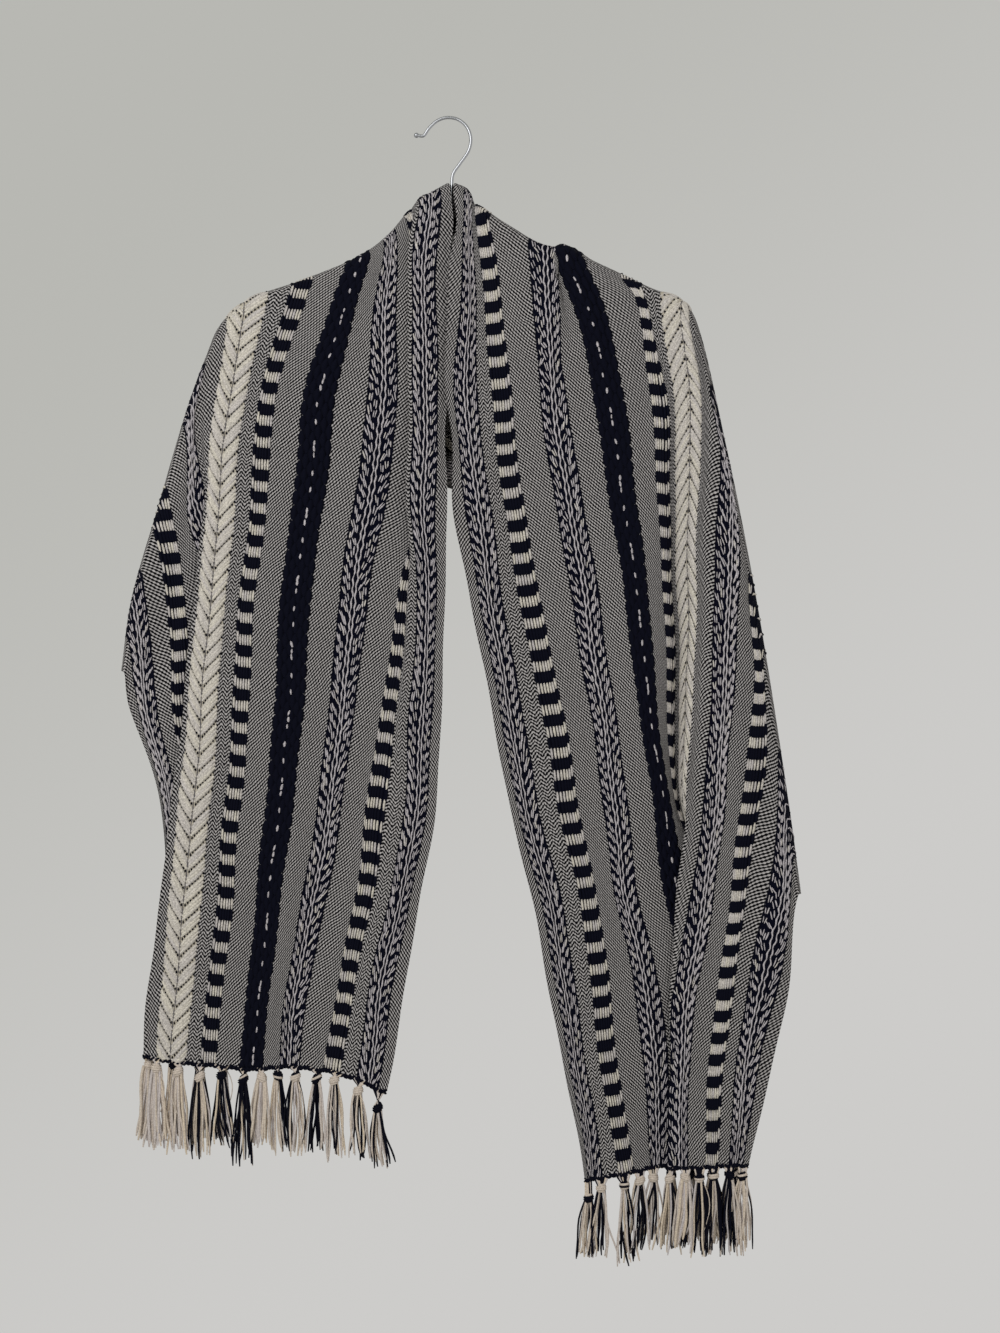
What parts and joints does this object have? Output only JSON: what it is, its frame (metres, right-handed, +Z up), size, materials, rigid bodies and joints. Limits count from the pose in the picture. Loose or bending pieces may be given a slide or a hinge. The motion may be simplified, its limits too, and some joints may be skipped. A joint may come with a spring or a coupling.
{
  "type": "fringed scarf on a clothes hanger",
  "caption": "Long woven cotton scarf with lengthwise stripes and knotted fringe, worn round a clothes hanger with a chrome hook.",
  "frame": {"origin": "inside of the hanger hook's crown, where the hook rests on what holds it up", "axes": "+Z up along the length of the hanging scarf, +X to the right of someone who faces its front, front towards -Y"},
  "size_m": [0.6114, 0.0442, 1.0419],
  "materials": {
    "striped_cotton": "coarse handwoven cotton in cream, near-black and navy yarn, dull, with raised floats in its stripes",
    "fringe_cotton": "loose cotton yarn in cream and navy, dull",
    "hanger_plastic": "smooth pale plastic, matte",
    "hook_chrome": "polished wire"
  },
  "bodies": {
    "root": {"front_left": "striped_cotton", "front_right": "striped_cotton", "back_drape": "striped_cotton", "fringe_left": "fringe_cotton", "fringe_right": "fringe_cotton", "hanger_bar": "hanger_plastic", "hanger_hook": "hook_chrome"}
  },
  "joints": []
}
